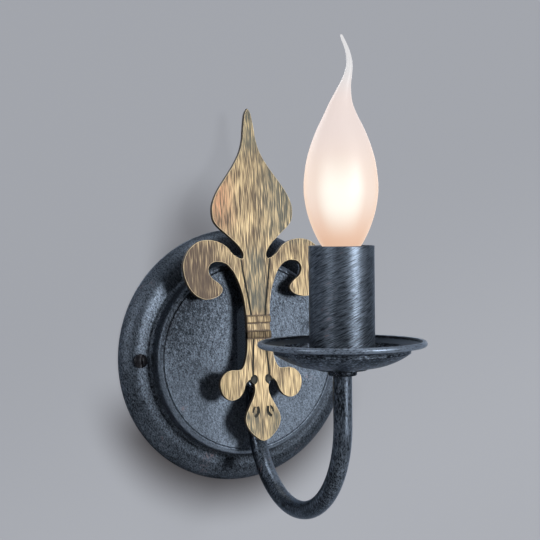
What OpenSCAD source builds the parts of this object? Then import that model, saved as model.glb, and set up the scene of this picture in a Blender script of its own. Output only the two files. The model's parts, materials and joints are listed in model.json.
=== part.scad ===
// Torch sconce: one candle lamp on a bent tube arm, in front of a round wall canopy.
// A flat cast fleur-de-lis covers the place where the arm meets the canopy.
// Millimetres. +Z up, +X right, -Y out from the wall. The origin is the centre of the
// two wall slots, on the wall. "Depth" below is the distance out from the wall.

/* [Canopy] */
// Radius of the brim where it meets the wall
canopy_r = 67.5; // [66.5:0.5:70]
// Depth of the flat disc's face
canopy_d = 17.5; // [16.5:0.25:20]
// Radius of the crown, which carries the disc
crown_r = 52; // [50:0.5:53]
// Radius of the rolled edge between crown and disc
crown_roll = 2.5; // [1.5:0.25:3.5]
// Radius of the cove between brim and crown
cove_r = 3; // [2:0.25:3.5]
// Depth of the brim at its flat crest
brim_d = 8; // [7.5:0.25:8.5]
// Radius at which the brim is flat
brim_flat_r = 58; // [57.5:0.25:58.5]
// Height of the brim's upright outer edge
brim_edge = 1.5; // [1:0.25:2.5]
// Thickness of the spun steel
skin_t = 1; // [0.8:0.1:1.4]
// Width of the fine groove round the disc
groove_w = 0.7; // [0.4:0.1:1]

/* [Ornament] */
// Length of the plate from the canopy's centre up to the spear's tip
spear_top = 131.5; // [126:0.5:140]
// Length of the plate from the canopy's centre down to the finial's tip
finial_low = 43; // [42:0.5:44]
// Angle at which the plate leans back, its tip nearer the wall
plate_lean = 5.5; // [4.75:0.25:6.5]
// Thickness of the cast plate
plate_t = 2.5; // [2:0.25:4]
// Height that the waist band stands proud
band_t = 0.6; // [0.4:0.1:1]

/* [Arm] */
// Outer diameter of the arm tube
arm_od = 9; // [8:0.25:9.5]
// Wall of the arm tube
arm_wall = 1; // [0.8:0.1:1.25]
// Radius of the bend's centre line
bend_r = 48; // [45:0.5:60]
// Height at which the bend starts, below the canopy's centre
bend_low = 24; // [23.5:0.5:30]
// Height of the arm tube's candle end
arm_top = 0.8; // [0.6:0.1:1.5]
// Width of the block that joins arm, canopy and ornament
block_w = 14; // [13:0.5:18]
// Metal left in front of and behind the tube in the block
block_wall = 1; // [0.8:0.1:2]

/* [Drip pan] */
// Radius over the rolled lip
pan_r = 40; // [38:0.1:44]
// Radius of the lip's roll
lip_roll = 1.4; // [1:0.1:1.8]
// Height of the lip's roll centre above the pan's underside
lip_h = 11.5; // [10.5:0.25:14]
// Radius of the bowl where it meets the flange
bowl_r = 31.8; // [28:0.1:33]
// Height of the bowl at the flange
bowl_h = 6.8; // [5:0.1:7.5]
// Radius of the flat bottom
pan_flat_r = 10.5; // [9.5:0.25:12]
// Thickness of the pan's sheet
pan_t = 1; // [0.8:0.1:1.3]
// Diameter of the thin seat disc under the pan
seat_d = 23.6; // [20:0.1:28]
// Thickness of the seat disc
seat_t = 0.8; // [0.6:0.1:1.2]
// Diameter of the collar under the seat
collar_d = 13.8; // [13:0.1:16]
// Height of the collar
collar_h = 2.6; // [2.2:0.1:4]

/* [Candle] */
// Outer diameter of the sleeve
sleeve_d = 31; // [29:0.25:33]
// Wall of the sleeve
sleeve_t = 1; // [0.7:0.1:1.3]
// Height of the sleeve's rim above the pan's underside
sleeve_top = 57.7; // [56.7:0.1:58.5]
// Outer diameter of the lamp holder
holder_d = 23; // [22:0.5:26]
// Height of the glass lamp above the sleeve's rim
lamp_h = 98.5; // [90:0.5:110]
// Largest radius of the glass
glass_r = 17.5; // [16:0.25:19]
// Thickness of the glass
glass_t = 0.8; // [0.6:0.1:1]

/* [Bracket and fixings] */
// Distance between the two wall slots
wall_spacing = 60; // [56:1:66]
// Width of a wall slot
wall_slot_w = 4.5; // [4:0.1:5.5]
// Length of a wall slot
wall_slot_l = 8; // [7:0.5:9]
// Thickness of the bracket strap
strap_t = 2; // [1.5:0.1:2.3]
// Radius at which the canopy's screws stand
screw_r = 58.2; // [57.8:0.1:58.6]
// Diameter of the canopy screws
screw_d = 4; // [3.5:0.5:4]
// Diameter of the canopy screws' heads
screw_head_d = 7.2; // [7:0.1:7.6]
// Diameter of the threaded tube through the canopy
nipple_d = 10; // [9.5:0.25:10]
// Bore of the threaded tube
nipple_bore = 7; // [6:0.25:7]

/* [Hidden] */
$fn = 96;

fit = 0.03;            // radial gap of threads and brazed fits
play = 0.25;           // radial gap of loose clearance holes
steel = [0.16, 0.18, 0.22];
gold = [0.62, 0.50, 0.28];
zinc = [0.70, 0.72, 0.74];
brass = [0.78, 0.65, 0.35];

// Stations in depth
block_d = arm_od + 2 * block_wall;
arm_depth = canopy_d + block_d / 2;
plate_back = canopy_d + block_d;
candle_depth = arm_depth + 2 * bend_r;
inner_d = canopy_d - skin_t;

// Stations in height on the candle's axis
collar_z = arm_top - 1.4;
seat_z = collar_z + collar_h;
pan_z = seat_z + seat_t;
nut_t = 3;
holder_z = pan_z + pan_t + nut_t + 0.2;
split_z = holder_z + 15;     // joint between the holder's base and body
rim_z = pan_z + sleeve_top;
floor_z = rim_z - 27.5;      // upper face of the holder's floor
shell_top = rim_z - 4;
shell_r = 8.45;
shell_bore_r = 7.2;

// Brim: an arc that is flat at its crest and meets the upright edge
brim_w = canopy_r - brim_flat_r;
brim_h = brim_d - brim_edge;
brim_arc_r = (brim_w * brim_w + brim_h * brim_h) / (2 * brim_h);

// Bowl: an arc that leaves the flat bottom and rises to the flange
bowl_w = bowl_r - pan_flat_r;
bowl_arc_r = (bowl_w * bowl_w + bowl_h * bowl_h) / (2 * bowl_h);

// Ornament studs and nipple, heights on the block
stud_d = 4;
stud_z = [14, 23.5];
stud_washer_d = 8.8;
washer_t = 1;
block_low = -16;
block_top = stud_z[1] + 5;
tube_seat_z = block_low + 10;
channel_d = 6.5;

// Bracket
strap_h = 24;
ear_x0 = 44;
ear_x1 = screw_r + 3.8;
ear_h = 10;
ear_top = brim_d - skin_t - 1.8;
tongue_w = 26;
inlet_d = 14;
wall_x = wall_spacing / 2;

// Terminal block
tb_w = 24;
tb_l = 14;
tb_d = 10;
tb_z = block_top + 1.5;
tb_pitch = 8;
tongue_top = tb_z + tb_l + 2;
earth_x = 17;
earth_z = 0;

// Internal leads
wire_d = 1.9;
wire_x = 1.05;
wire_turn = 4;
feed_depth = 6;

// ---- shared functions and shapes ----

function arc(cx, cy, r, a0, a1, n) =
    [for (i = [0:n]) let (a = a0 + (a1 - a0) * i / n) [cx + r * cos(a), cy + r * sin(a)]];
function back(v) = [for (i = [len(v) - 1:-1:0]) v[i]];
function unit(v) = v / norm(v);

// Smooth curve through points of any dimension, with n steps in each span
function spline_at(a, b, c, d, t) =
    0.5 * (2 * b + (c - a) * t + (2 * a - 5 * b + 4 * c - d) * t * t
    + (3 * b - a - 3 * c + d) * t * t * t);
function spline(p, n) = let (m = len(p) - 1) concat(
    [for (i = [0:m - 1]) for (k = [0:n - 1])
        spline_at(p[max(i - 1, 0)], p[i], p[i + 1], p[min(i + 2, m)], k / n)],
    [p[m]]);

// Places a child drawn in X and Y on the wall's plane, its Z turned to depth
module out(depth) {
    translate([0, -depth, 0]) rotate([90, 0, 0]) children();
}

// Places a child drawn flat on the ornament's back face, which leans towards the wall
module leaning() {
    translate([0, -plate_back, 0]) rotate([90 - plate_lean, 0, 0]) children();
}

// All the space in front of the ornament's back face
module ornament_side() {
    leaning() translate([-100, -100, 0]) cube(200);
}

module on_candle(z) {
    translate([0, -candle_depth, z]) children();
}

module hex(af, h) {
    rotate(30) cylinder(d = af / cos(30), h = h, $fn = 6);
}

// Closed tube along a path; the path never runs along X
module lead(path, d, sides = 8) {
    last = len(path) - 1;
    tangents = [for (i = [0:last]) unit(path[min(i + 1, last)] - path[max(i - 1, 0)])];
    rings = [for (i = [0:last]) let (u = unit(cross(tangents[i], [1, 0, 0])), v = cross(tangents[i], u))
        for (k = [0:sides - 1]) path[i] + d / 2 * (cos(k * 360 / sides) * u + sin(k * 360 / sides) * v)];
    walls = [for (i = [0:last - 1]) for (k = [0:sides - 1]) let (a = i * sides + k,
        b = i * sides + (k + 1) % sides) each [[a, b + sides, b], [a, a + sides, b + sides]]];
    ends = [[for (k = [0:sides - 1]) k], [for (k = [sides - 1:-1:0]) last * sides + k]];
    polyhedron(points = rings, faces = concat(walls, ends));
}

// ---- wall bracket and what it carries ----

module wall_slots(h) {
    for (s = [-1, 1]) for (e = [-1, 1])
        translate([s * wall_x + e * (wall_slot_l - wall_slot_w) / 2, 0, 0])
            cylinder(d = wall_slot_w, h = h);
    for (s = [-1, 1])
        translate([s * wall_x - (wall_slot_l - wall_slot_w) / 2, -wall_slot_w / 2, 0])
            cube([wall_slot_l - wall_slot_w, wall_slot_w, h]);
}

module wall_bracket() {
    color(zinc) out(0) difference() {
        union() {
            translate([-ear_x0, -strap_h / 2, 0]) cube([2 * ear_x0, strap_h, strap_t]);
            translate([-tongue_w / 2, 0, 0]) cube([tongue_w, tongue_top, strap_t]);
            for (s = [0, 1]) mirror([s, 0, 0]) {
                translate([ear_x0 - strap_t, -ear_h / 2, 0]) cube([strap_t, ear_h, ear_top]);
                translate([ear_x0 - strap_t, -ear_h / 2, ear_top - strap_t])
                    cube([ear_x1 - ear_x0 + strap_t, ear_h, strap_t]);
            }
        }
        translate([0, 0, -1]) cylinder(d = inlet_d, h = strap_t + 2);
        translate([0, 0, -1]) wall_slots(strap_t + 2);
        for (s = [-1, 1]) translate([s * screw_r, 0, 0]) cylinder(r = screw_d / 2 + fit, h = ear_top + 1);
        translate([earth_x, earth_z, -1]) cylinder(r = 2 + fit, h = strap_t + 2);
        translate([tb_pitch / 2, tb_z + tb_l / 2, -1]) cylinder(r = 1.25 + fit, h = strap_t + 2);
    }
}

// Plastic bush where the house cable comes in
module inlet_bush() {
    color("black") out(0) difference() {
        union() {
            cylinder(r = inlet_d / 2 - fit, h = strap_t);
            translate([0, 0, strap_t]) cylinder(d = inlet_d + 3, h = 1.2);
        }
        translate([0, 0, -1]) cylinder(d = 10, h = strap_t + 4);
    }
}

module terminal_block() {
    color("ivory") out(strap_t) difference() {
        translate([-tb_w / 2, tb_z, 0]) cube([tb_w, tb_l, tb_d]);
        for (i = [-1:1]) translate([i * tb_pitch, tb_z, tb_d / 2]) {
            translate([0, -1, 0]) rotate([-90, 0, 0]) cylinder(r = 2.2 + fit, h = tb_l + 2);
            for (z = [4, tb_l - 4]) translate([0, z, 0]) cylinder(r = 1.7, h = tb_d);
        }
        translate([tb_pitch / 2, tb_z + tb_l / 2, -1]) cylinder(r = 1.4, h = tb_d + 2);
        translate([tb_pitch / 2, tb_z + tb_l / 2, tb_d - 1.5]) cylinder(r = 2.5, h = 2);
    }
}

module terminal_sleeves() {
    color(brass) out(strap_t + tb_d / 2) for (i = [-1:1]) translate([i * tb_pitch, tb_z + 0.5, 0])
        rotate([-90, 0, 0]) difference() {
            cylinder(r = 2.2, h = tb_l - 1);
            translate([0, 0, -1]) cylinder(r = 1.3, h = tb_l + 1);
            for (z = [3.5, tb_l - 4.5]) translate([0, 0, z]) rotate([90, 0, 0])
                cylinder(r = 1.25 + fit, h = 3);
        }
}

module terminal_screws() {
    color(zinc) out(strap_t + tb_d / 2) for (i = [-1:1]) for (z = [4, tb_l - 4])
        translate([i * tb_pitch, tb_z + z, 1.2]) difference() {
            cylinder(r = 1.25, h = 3);
            translate([-2, -0.25, 2.4]) cube([4, 0.5, 1]);
        }
}

module block_screw() {
    color(zinc) out(0.2) translate([tb_pitch / 2, tb_z + tb_l / 2, 0]) {
        cylinder(r = 1.25, h = strap_t + tb_d - 1.5);
        translate([0, 0, strap_t + tb_d - 1.7]) difference() {
            cylinder(r = 2.3, h = 1.3);
            translate([-3, -0.3, 0.8]) cube([6, 0.6, 1]);
        }
    }
}

module earth_screw() {
    color(brass) out(0.2) translate([earth_x, earth_z, 0]) {
        cylinder(r = 2, h = strap_t + 1.2);
        translate([0, 0, strap_t + 0.8]) difference() {
            cylinder(r = 3.6, h = 2.2);
            translate([-4, -0.5, 1.2]) cube([8, 1, 2]);
        }
    }
}

// Ring terminal with its crimped barrel
module earth_tag() {
    color(zinc) out(strap_t) difference() {
        union() {
            translate([earth_x, earth_z, 0]) cylinder(r = 3.7, h = 0.8);
            translate([earth_x - 1.5, earth_z, 0]) cube([3, 9, 0.8]);
            translate([earth_x, earth_z + 7, 1.6]) rotate([-90, 0, 0]) cylinder(r = 1.6, h = 5);
        }
        translate([earth_x, earth_z, -1]) cylinder(r = 2.1, h = 3);
        translate([earth_x, earth_z + 8.5, 1.6]) rotate([-90, 0, 0]) cylinder(r = wire_d / 2 + 0.2, h = 4);
    }
}

// ---- internal leads ----

// From the connector's pole, through the threaded tube, the block and the arm, to the holder
function lead_path(pole, side) = concat(
    [for (p = spline([
        [pole, tb_z - 0.3 + 1.5, strap_t + tb_d / 2], [pole, tb_z - 3, feed_depth],
        [(pole + side * wire_x) / 2, block_top - 8, feed_depth],
        [side * wire_x * 1.5, wire_turn + 8, feed_depth], [side * wire_x, wire_turn, feed_depth]], 3))
        [p[0], -p[2], p[1]]],
    [for (a = [30:30:90]) [side * wire_x, -(feed_depth + wire_turn * (1 - cos(a))), wire_turn * (1 - sin(a))]],
    [for (a = [0:22.5:90]) [side * wire_x, -(arm_depth - wire_turn * (1 - sin(a))),
        -wire_turn * (1 - cos(a))]],
    [[side * wire_x, -arm_depth, -(bend_low + wire_turn) / 2]],
    [for (a = [0:6:180]) [side * wire_x, -(arm_depth + bend_r * (1 - cos(a))), -bend_low - bend_r * sin(a)]],
    [[side * wire_x, -candle_depth, -bend_low / 2], [side * wire_x, -candle_depth, arm_top],
     [side * wire_x, -candle_depth, holder_z + 4], [side * 2.4, -candle_depth, floor_z - 14],
     [side * 4, -candle_depth, floor_z - 9], [side * 4, -candle_depth, floor_z - 5.5]]);

module live_wire() {
    color("saddlebrown") lead(lead_path(-tb_pitch, -1), wire_d);
}

module neutral_wire() {
    color("royalblue") lead(lead_path(0, 1), wire_d);
}

// Curves down from the connector, then runs straight into the ring terminal's barrel
module earth_wire() {
    color("yellowgreen") lead([for (p = concat(spline([
        [tb_pitch, tb_z + 1.2, strap_t + tb_d / 2], [tb_pitch, tb_z - 3, strap_t + 4.5],
        [12, 23, strap_t + 3.5], [16, 17, strap_t + 2], [earth_x, earth_z + 13, strap_t + 1.6]], 3),
        [[earth_x, earth_z + 9, strap_t + 1.6]])) [p[0], -p[2], p[1]]], wire_d);
}

// ---- canopy ----

function skin(t) = concat(
    [[canopy_r - t, 0]],
    arc(brim_flat_r, brim_d - brim_arc_r, brim_arc_r - t, acos((brim_w - t) / (brim_arc_r - t)), 90, 10),
    arc(crown_r + cove_r, brim_d + cove_r, cove_r + t, 270, 180, 6),
    arc(crown_r - crown_roll, canopy_d - crown_roll, crown_roll - t, 0, 90, 6),
    [[0, canopy_d - t]]);

module canopy() {
    color(steel) out(0) difference() {
        rotate_extrude() polygon(concat(skin(0), back(skin(skin_t))));
        rotate_extrude() translate([crown_r - crown_roll - groove_w, canopy_d])
            rotate(45) square(groove_w * 0.7, center = true);
        translate([0, 0, inner_d - 1]) cylinder(r = nipple_d / 2 + play, h = 3 + skin_t);
        for (z = stud_z) translate([0, z, inner_d - 1]) cylinder(r = stud_d / 2 + play, h = 3 + skin_t);
        for (s = [-1, 1]) translate([s * screw_r, 0, brim_d - skin_t - 2])
            cylinder(r = screw_d / 2 + play, h = 4);
    }
}

// Slotted round heads on the brim, left and right, threaded into the bracket's ears
module canopy_screws() {
    color([0.1, 0.1, 0.12]) out(0) for (s = [-1, 1]) translate([s * screw_r, 0, 0]) {
        translate([0, 0, ear_top - strap_t - 0.6]) cylinder(d = screw_d, h = brim_d - ear_top + strap_t + 1);
        translate([0, 0, brim_d]) difference() {
            intersection() {
                cylinder(d = screw_head_d, h = 2.4);
                translate([0, 0, 2.4 - screw_head_d * 0.75]) sphere(d = screw_head_d * 1.5);
            }
            translate([-0.5, -screw_head_d, 1.2]) cube([1, 2 * screw_head_d, 2]);
        }
    }
}

// ---- block, its clamp and the ornament ----

// Upright block with round ends, cross-drilled for tube, wires, nipple and studs
module arm_block() {
    r = block_w / 2;
    outline = concat(arc(0, block_top - r, r, 0, 180, 16), arc(0, block_low + r, r, 180, 360, 16));
    color(steel) difference() {
        out(canopy_d) linear_extrude(block_d + 2) polygon(outline);
        ornament_side();
        out(canopy_d - 1) cylinder(r = nipple_d / 2 + fit, h = block_d - 0.7);
        for (z = stud_z) out(canopy_d - 1) translate([0, z, 0]) cylinder(r = stud_d / 2 + play, h = block_d + 2);
        translate([0, -arm_depth, block_low - 1]) cylinder(r = arm_od / 2 + fit, h = tube_seat_z - block_low + 1);
        translate([0, -arm_depth, tube_seat_z - 1]) cylinder(d = channel_d, h = 1 - tube_seat_z);
    }
}

module block_nipple() {
    color(zinc) difference() {
        out(inner_d - washer_t - nut_t - 1) cylinder(d = nipple_d, h = block_d + skin_t + washer_t + nut_t - 1);
        out(0) cylinder(d = nipple_bore, h = plate_back);
        translate([0, -arm_depth, -nipple_d]) cylinder(d = channel_d, h = nipple_d);
    }
}

module block_washer() {
    color(zinc) out(inner_d - washer_t) difference() {
        cylinder(d = nipple_d + 8, h = washer_t);
        translate([0, 0, -1]) cylinder(r = nipple_d / 2 + play, h = washer_t + 2);
    }
}

module block_locknut() {
    color(zinc) out(inner_d - washer_t - nut_t) difference() {
        hex(nipple_d + 4, nut_t);
        translate([0, 0, -1]) cylinder(r = nipple_d / 2 + fit, h = nut_t + 2);
    }
}

// Right half of the ornament's outline, from the spear's tip down to the finial's tip.
// Above the waist heights hang from spear_top, below it from finial_low.
function up(h) = spear_top - h;
function low(h) = h - finial_low;
half_outline = spline([
    [0, up(0)], [1.7, up(3)], [3, up(10.5)], [3.9, up(17)], [6, up(23.5)], [9.8, up(30)],
    [14.2, up(36)], [19, up(42.5)], [22, up(48)], [23.3, up(53)], [22.8, up(58.5)], [20.6, up(62)],
    [16, up(66)], [10.4, up(71)], [7.6, up(74.5)], [6.6, up(77)], [7.2, up(79)], [9, up(78.8)],
    [12.7, up(76.5)], [16.3, up(72.4)], [21.5, up(69.8)], [27, up(69)], [32.5, up(70.1)],
    [37.6, up(74.1)], [40.5, up(79.5)], [41, up(84.5)], [39.4, up(91)], [35.8, up(96.5)],
    [30.4, up(99.6)], [25, up(99.3)], [21, up(97.5)], [19.5, up(94.6)], [21.6, up(91.5)],
    [25.5, up(88.5)], [27, up(84.5)], [25.2, up(81.3)], [21.2, up(80.4)], [16.8, up(81.6)],
    [13.3, up(85.2)], [11.2, up(89)], [9.4, up(93.5)], [8.1, up(98)], [7.2, up(103.5)], [6.7, up(110.5)],
    [6.7, up(118.5)], [7.1, low(49)], [8.4, low(42.5)], [10.4, low(38.4)], [13.2, low(37.5)],
    [16.8, low(37.7)], [20.6, low(36.2)], [23.1, low(33)], [23.5, low(29)], [22.2, low(25.2)],
    [19.4, low(22.6)], [16.2, low(22)], [12.8, low(23.4)], [10.4, low(26.4)], [9.2, low(29.6)],
    [8, low(31.2)], [6, low(31.3)], [4.4, low(29.8)], [3.9, low(26.8)], [4.9, low(23.2)], [6.8, low(19.6)],
    [8.8, low(16)], [10, low(12.8)], [9.9, low(9.8)], [8.5, low(6.6)], [6, low(3.6)], [2.6, low(0.9)],
    [0, low(0)]], 3);
full_outline = concat(half_outline,
    [for (i = [len(half_outline) - 2:-1:1]) [-half_outline[i][0], half_outline[i][1]]]);
band_low = 10.8;
band_top = 22;

// Flat cast plate with a raised tie round the waist
module fleur_plate() {
    color(gold) leaning() {
        linear_extrude(plate_t) polygon(full_outline);
        translate([0, 0, plate_t]) linear_extrude(band_t) intersection() {
            polygon(full_outline);
            for (z = [band_low, (band_low + band_top) / 2 - 1.6, band_top - 3.2])
                translate([-20, z]) square([40, 3.2]);
        }
    }
}

module fleur_studs() {
    color(zinc) difference() {
        for (z = stud_z) out(inner_d - washer_t - nut_t - 0.8) translate([0, z, 0])
            cylinder(d = stud_d, h = block_d + skin_t + washer_t + nut_t + 0.8);
        ornament_side();
    }
}

module stud_washers() {
    color(zinc) for (z = stud_z) out(inner_d - washer_t) translate([0, z, 0]) difference() {
        cylinder(d = stud_washer_d, h = washer_t);
        translate([0, 0, -1]) cylinder(r = stud_d / 2 + play, h = washer_t + 2);
    }
}

module stud_nuts() {
    color(zinc) for (z = stud_z) out(inner_d - washer_t - nut_t) translate([0, z, 0]) difference() {
        hex(7, nut_t);
        translate([0, 0, -1]) cylinder(r = stud_d / 2 + fit, h = nut_t + 2);
    }
}

// ---- arm ----

module ring_section(r_out, r_in) {
    difference() {
        circle(r_out);
        circle(r_in);
    }
}

module arm_tube() {
    r = arm_od / 2;
    color(steel) {
        translate([0, -(arm_depth + bend_r), -bend_low]) rotate([90, 0, 90]) rotate([0, 0, 180])
            rotate_extrude(angle = 180) translate([bend_r, 0]) ring_section(r, r - arm_wall);
        translate([0, -arm_depth, -bend_low]) linear_extrude(tube_seat_z + bend_low)
            ring_section(r, r - arm_wall);
        translate([0, -candle_depth, -bend_low]) linear_extrude(arm_top + bend_low)
            ring_section(r, r - arm_wall);
    }
}

// Turned collar: socket for the tube below, threaded spigot above
module arm_collar() {
    roll = 0.8;
    color(steel) on_candle(0) difference() {
        union() {
            rotate_extrude() polygon(concat([[0, collar_z]],
                arc(collar_d / 2 - roll, collar_z + roll, roll, -90, 0, 5),
                [[collar_d / 2, seat_z], [0, seat_z]]));
            translate([0, 0, seat_z]) cylinder(d = nipple_d, h = holder_z + 3 - seat_z);
        }
        translate([0, 0, collar_z - 1]) cylinder(r = arm_od / 2 + fit, h = arm_top - collar_z + 1);
        translate([0, 0, collar_z]) cylinder(d = arm_od - 2 * arm_wall, h = holder_z + 10);
    }
}

// ---- drip pan ----

module pan_seat() {
    color(steel) on_candle(seat_z) difference() {
        cylinder(d = seat_d, h = seat_t);
        translate([0, 0, -1]) cylinder(r = nipple_d / 2 + play, h = seat_t + 2);
    }
}

// Section of the pan's bowl, drawn in by t, from its axis to the flange
function bowl(t) = concat([[0, t]],
    [for (i = [0:10]) let (a = asin(bowl_w / bowl_arc_r) * i / 10)
        [pan_flat_r + (bowl_arc_r - t) * sin(a), bowl_arc_r - (bowl_arc_r - t) * cos(a)]]);
lip_x = pan_r - lip_roll;
ledge_z = bowl_h + 1.6;

module drip_pan() {
    color(steel) on_candle(pan_z) difference() {
        rotate_extrude() {
            polygon(concat(bowl(0),
                [[bowl_r + 1.2, ledge_z], [lip_x - 0.4, lip_h - lip_roll * 0.7],
                 [lip_x - 0.4, lip_h], [bowl_r + 1, ledge_z + pan_t], [bowl_r - pan_t, ledge_z + pan_t * 0.7]],
                back(bowl(pan_t))));
            translate([lip_x, lip_h]) circle(lip_roll, $fn = 32);
        }
        translate([0, 0, -1]) cylinder(r = nipple_d / 2 + play, h = pan_t + 2);
    }
}

module pan_nut() {
    color(zinc) on_candle(pan_z + pan_t) difference() {
        hex(nipple_d + 4, nut_t);
        translate([0, 0, -1]) cylinder(r = nipple_d / 2 + fit, h = nut_t + 2);
    }
}

// ---- candle sleeve and lamp holder ----

// Height of the bowl's inner face at radius x
function bowl_z(x) = bowl_arc_r - sqrt(pow(bowl_arc_r - pan_t, 2) - pow(x - pan_flat_r, 2));
sleeve_z = pan_z + bowl_z(sleeve_d / 2) + 0.05;

module candle_sleeve() {
    color(steel) on_candle(sleeve_z) difference() {
        cylinder(d = sleeve_d, h = rim_z - sleeve_z);
        translate([0, 0, -1]) cylinder(d = sleeve_d - 2 * sleeve_t, h = rim_z - sleeve_z + 2);
    }
}

module holder_base() {
    color([0.12, 0.12, 0.12]) on_candle(holder_z) difference() {
        cylinder(d = holder_d, h = split_z - holder_z);
        translate([0, 0, 3]) cylinder(d = holder_d - 4, h = split_z);
        translate([0, 0, -1]) cylinder(r = nipple_d / 2 + fit, h = 6);
    }
}

module holder_body() {
    color([0.12, 0.12, 0.12]) on_candle(0) difference() {
        union() {
            translate([0, 0, split_z]) cylinder(d = holder_d, h = rim_z - 3.5 - split_z);
            translate([0, 0, split_z - 4]) cylinder(d = holder_d - 4 - 2 * fit, h = 5);
        }
        translate([0, 0, split_z - 5]) cylinder(d = holder_d - 7, h = floor_z - 2.5 - split_z + 5);
        translate([0, 0, floor_z - 3]) cylinder(r = 1.5 + fit, h = 4);
        translate([0, 0, floor_z]) cylinder(r = shell_r + fit, h = rim_z - floor_z);
    }
}

// Threaded brass shell, drawn plain
module holder_shell() {
    color(brass) on_candle(floor_z) difference() {
        cylinder(r = shell_r, h = shell_top - floor_z);
        translate([0, 0, 0.6]) cylinder(r = shell_bore_r, h = shell_top - floor_z);
        translate([0, 0, -1]) cylinder(r = 5, h = 3);
    }
}

contact_z = floor_z + 0.9;

// Rivet and leaf that the lamp's tip presses on
module holder_contact() {
    color(brass) on_candle(0) {
        translate([0, 0, floor_z - 4]) cylinder(r = 1.5, h = contact_z - 0.4 - floor_z + 4);
        translate([-4, -1.5, contact_z - 0.4]) cube([8, 3, 0.4]);
    }
}

module holder_terminals() {
    color(brass) on_candle(0) for (s = [-1, 1]) translate([s * 4, 0, floor_z - 8]) difference() {
        translate([-2, -2.5, 0]) cube([4, 5, 5.4]);
        translate([0, 0, -1]) cylinder(r = wire_d / 2 + 0.1, h = 4);
    }
}

// ---- lamp ----

cap_z = contact_z + 3;
cap_top = rim_z - 3;
cap_r = 6.95;
cap_pitch = 2.82;

module bulb_contact() {
    color(zinc) on_candle(contact_z + 0.05) intersection() {
        cylinder(r = 2.6, h = 1.15);
        translate([0, 0, 4]) sphere(r = 4);
    }
}

module bulb_insulator() {
    color([0.08, 0.08, 0.1]) on_candle(contact_z + 1.2) cylinder(r1 = 3, r2 = 6, h = cap_z - contact_z - 1.2);
}

// Cap with the screw thread drawn as rings
module bulb_cap() {
    turns = floor((cap_top - cap_z - 3) / cap_pitch);
    wave = [for (i = [0:turns * 8]) [cap_r - 0.55 + 0.55 * -cos(i * 45), cap_z + 1 + i * cap_pitch / 8]];
    outer = concat([[cap_r - 1.1, cap_z]], wave, [[cap_r - 0.6, cap_top - 1.4], [cap_r + 0.15, cap_top - 1],
        [cap_r + 0.15, cap_top]]);
    color(zinc) on_candle(0) rotate_extrude() polygon(concat([[0, cap_z]], outer,
        [[cap_r - 1.1, cap_top], [cap_r - 1.6, cap_top - 2], [cap_r - 1.6, cap_z + 0.5], [0, cap_z + 0.5]]));
}

// Flame-shaped glass: share of the lamp's height above the rim, share of glass_r, sideways bend
glass_form = spline([
    [-0.045, 0.29, 0], [-0.02, 0.36, 0], [0, 0.53, 0], [0.066, 0.73, 0], [0.148, 0.9, 0], [0.226, 0.985, 0],
    [0.28, 1, 0], [0.334, 0.98, 0], [0.405, 0.92, 0], [0.477, 0.805, 0], [0.55, 0.645, 0],
    [0.62, 0.45, 0], [0.68, 0.31, 0.3], [0.75, 0.18, 1.9], [0.8, 0.12, 3.4], [0.85, 0.088, 4.4],
    [0.893, 0.07, 4.2], [0.935, 0.059, 3.2], [0.978, 0.048, 1.5], [1, 0.03, 0.7]], 2);
bend_turn = -28;       // the tail bends in the plane that the front view shows best

module glass_skin(form, inset) {
    sides = 36;
    last = len(form) - 1;
    points = concat([for (g = form) for (k = [0:sides - 1]) [
        g[2] + (g[1] * glass_r - inset) * cos(k * 360 / sides),
        (g[1] * glass_r - inset) * sin(k * 360 / sides), rim_z + g[0] * lamp_h]],
        [[0, 0, rim_z + form[0][0] * lamp_h], [form[last][2], 0, rim_z + form[last][0] * lamp_h]]);
    walls = [for (i = [0:last - 1]) for (k = [0:sides - 1]) let (a = i * sides + k,
        b = i * sides + (k + 1) % sides) each [[a, b + sides, b], [a, a + sides, b + sides]]];
    ends = [for (k = [0:sides - 1]) let (n = (k + 1) % sides, c = len(points) - 2)
        each [[c, k, n], [c + 1, last * sides + n, last * sides + k]]];
    polyhedron(points = points, faces = concat(walls, ends));
}

module bulb_glass() {
    hollow = [for (g = glass_form) if (g[1] * glass_r > 3 * glass_t) g];
    color([1, 0.93, 0.86, 0.6]) on_candle(0) rotate(bend_turn) difference() {
        glass_skin(glass_form, 0);
        glass_skin(concat([[-0.06, glass_form[0][1], 0]], hollow), glass_t);
    }
}

stem_z = cap_top - 1.8;
stem_h = 20;

// Glass foot and rod that carry the filament
module bulb_stem() {
    color([0.85, 0.9, 0.9, 0.5]) on_candle(0) rotate_extrude() polygon([[0, stem_z], [3.9, stem_z],
        [3.6, stem_z + 2], [2, stem_z + 6], [1.6, stem_z + 16], [1.8, stem_z + 19],
        [1.7, stem_z + stem_h], [0, stem_z + stem_h]]);
}

// Two splayed legs and the coil between them
module bulb_filament() {
    foot = stem_z + stem_h + 0.2;
    rise = rim_z + 25 - foot;
    foot_x = 1.2;
    spread = 4.8;
    half_coil = foot_x + spread + 0.3;
    color([0.5, 0.5, 0.52]) on_candle(foot) rotate(bend_turn) {
        for (s = [-1, 1]) translate([s * foot_x, 0, 0]) rotate([0, s * atan(spread / rise), 0])
            cylinder(r = 0.35, h = norm([spread, rise]) + 0.2);
        translate([-half_coil, 0, rise]) rotate([0, 90, 0]) cylinder(r = 0.6, h = 2 * half_coil);
    }
}

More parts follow.
